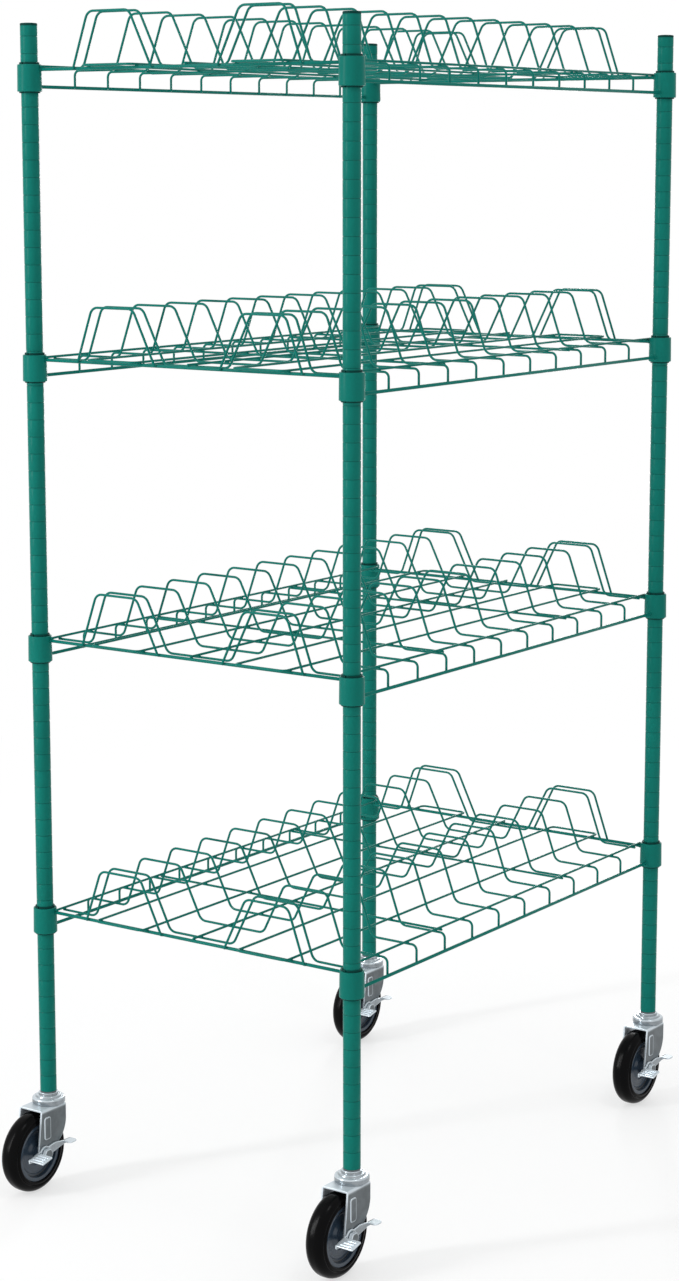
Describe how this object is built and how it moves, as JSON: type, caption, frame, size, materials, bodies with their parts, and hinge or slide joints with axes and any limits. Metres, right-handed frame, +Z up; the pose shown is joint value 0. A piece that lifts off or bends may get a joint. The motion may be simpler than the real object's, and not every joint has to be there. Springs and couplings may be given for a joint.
{
  "type": "wire drying rack",
  "caption": "Mobile open-wire drying rack: grooved corner posts carry wire shelves with humped cross wires that hold trays on edge, on braked swivel casters.",
  "frame": {"origin": "on the floor, midway between the four post axes", "axes": "+X along the long side of the shelves, +Y along the short side towards the back, +Z up"},
  "size_m": [1.004, 0.6595, 1.7849],
  "materials": {
    "green_epoxy": "satin",
    "black_plastic": "satin",
    "zinc_steel": "satin",
    "chrome_plate": "polished",
    "slate_plastic": "satin",
    "black_tyre": "satin"
  },
  "bodies": {
    "rack": {"post_front_left": "green_epoxy", "post_front_right": "green_epoxy", "post_back_left": "green_epoxy", "post_back_right": "green_epoxy", "post_caps": "black_plastic", "stem_sockets": "zinc_steel", "swivel_balls": "zinc_steel", "shelf_1_collars": "green_epoxy", "shelf_1_sleeves": "black_plastic", "shelf_1_frame_wires": "green_epoxy", "shelf_1_deck_wires": "green_epoxy", "shelf_1_cross_wires": "green_epoxy", "shelf_1_end_humps": "green_epoxy", "shelf_1_braces": "green_epoxy", "shelf_2_collars": "green_epoxy", "shelf_2_sleeves": "black_plastic", "shelf_2_frame_wires": "green_epoxy", "shelf_2_deck_wires": "green_epoxy", "shelf_2_cross_wires": "green_epoxy", "shelf_2_end_humps": "green_epoxy", "shelf_2_braces": "green_epoxy", "shelf_3_collars": "green_epoxy", "shelf_3_sleeves": "black_plastic", "shelf_3_frame_wires": "green_epoxy", "shelf_3_deck_wires": "green_epoxy", "shelf_3_cross_wires": "green_epoxy", "shelf_3_end_humps": "green_epoxy", "shelf_3_braces": "green_epoxy", "shelf_4_collars": "green_epoxy", "shelf_4_sleeves": "black_plastic", "shelf_4_frame_wires": "green_epoxy", "shelf_4_deck_wires": "green_epoxy", "shelf_4_cross_wires": "green_epoxy", "shelf_4_end_humps": "green_epoxy", "shelf_4_braces": "green_epoxy", "caster_front_left_stem": "chrome_plate", "caster_front_right_stem": "chrome_plate", "caster_back_left_stem": "chrome_plate", "caster_back_right_stem": "chrome_plate"},
    "fork_front_left": {"caster_front_left_fork": "zinc_steel", "caster_front_left_axle": "zinc_steel"},
    "wheel_front_left": {"caster_front_left_hub": "slate_plastic", "caster_front_left_tyre": "black_tyre"},
    "brake_front_left": {"caster_front_left_brake_lever": "chrome_plate"},
    "fork_front_right": {"caster_front_right_fork": "zinc_steel", "caster_front_right_axle": "zinc_steel"},
    "wheel_front_right": {"caster_front_right_hub": "slate_plastic", "caster_front_right_tyre": "black_tyre"},
    "brake_front_right": {"caster_front_right_brake_lever": "chrome_plate"},
    "fork_back_left": {"caster_back_left_fork": "zinc_steel", "caster_back_left_axle": "zinc_steel"},
    "wheel_back_left": {"caster_back_left_hub": "slate_plastic", "caster_back_left_tyre": "black_tyre"},
    "brake_back_left": {"caster_back_left_brake_lever": "chrome_plate"},
    "fork_back_right": {"caster_back_right_fork": "zinc_steel", "caster_back_right_axle": "zinc_steel"},
    "wheel_back_right": {"caster_back_right_hub": "slate_plastic", "caster_back_right_tyre": "black_tyre"},
    "brake_back_right": {"caster_back_right_brake_lever": "chrome_plate"}
  },
  "joints": [
    {"name": "swivel_front_left", "type": "hinge", "parent": "rack", "child": "fork_front_left", "pos_m": [-0.439, -0.2865, 0.131], "axis": [0, 0, 1], "continuous": true},
    {"name": "roll_front_left", "type": "hinge", "parent": "fork_front_left", "child": "wheel_front_left", "pos_m": [-0.477, -0.2865, 0.0625], "axis": [0, 1, 0], "continuous": true},
    {"name": "brake_front_left", "type": "hinge", "parent": "fork_front_left", "child": "brake_front_left", "pos_m": [-0.477, -0.2865, 0.0625], "axis": [0, -1, 0], "range_deg": [0, 15]},
    {"name": "swivel_front_right", "type": "hinge", "parent": "rack", "child": "fork_front_right", "pos_m": [0.439, -0.2865, 0.131], "axis": [0, 0, 1], "continuous": true},
    {"name": "roll_front_right", "type": "hinge", "parent": "fork_front_right", "child": "wheel_front_right", "pos_m": [0.401, -0.2865, 0.0625], "axis": [0, 1, 0], "continuous": true},
    {"name": "brake_front_right", "type": "hinge", "parent": "fork_front_right", "child": "brake_front_right", "pos_m": [0.401, -0.2865, 0.0625], "axis": [0, -1, 0], "range_deg": [0, 15]},
    {"name": "swivel_back_left", "type": "hinge", "parent": "rack", "child": "fork_back_left", "pos_m": [-0.439, 0.2865, 0.131], "axis": [0, 0, 1], "continuous": true},
    {"name": "roll_back_left", "type": "hinge", "parent": "fork_back_left", "child": "wheel_back_left", "pos_m": [-0.477, 0.2865, 0.0625], "axis": [0, 1, 0], "continuous": true},
    {"name": "brake_back_left", "type": "hinge", "parent": "fork_back_left", "child": "brake_back_left", "pos_m": [-0.477, 0.2865, 0.0625], "axis": [0, -1, 0], "range_deg": [0, 15]},
    {"name": "swivel_back_right", "type": "hinge", "parent": "rack", "child": "fork_back_right", "pos_m": [0.439, 0.2865, 0.131], "axis": [0, 0, 1], "continuous": true},
    {"name": "roll_back_right", "type": "hinge", "parent": "fork_back_right", "child": "wheel_back_right", "pos_m": [0.401, 0.2865, 0.0625], "axis": [0, 1, 0], "continuous": true},
    {"name": "brake_back_right", "type": "hinge", "parent": "fork_back_right", "child": "brake_back_right", "pos_m": [0.401, 0.2865, 0.0625], "axis": [0, -1, 0], "range_deg": [0, 15]}
  ]
}
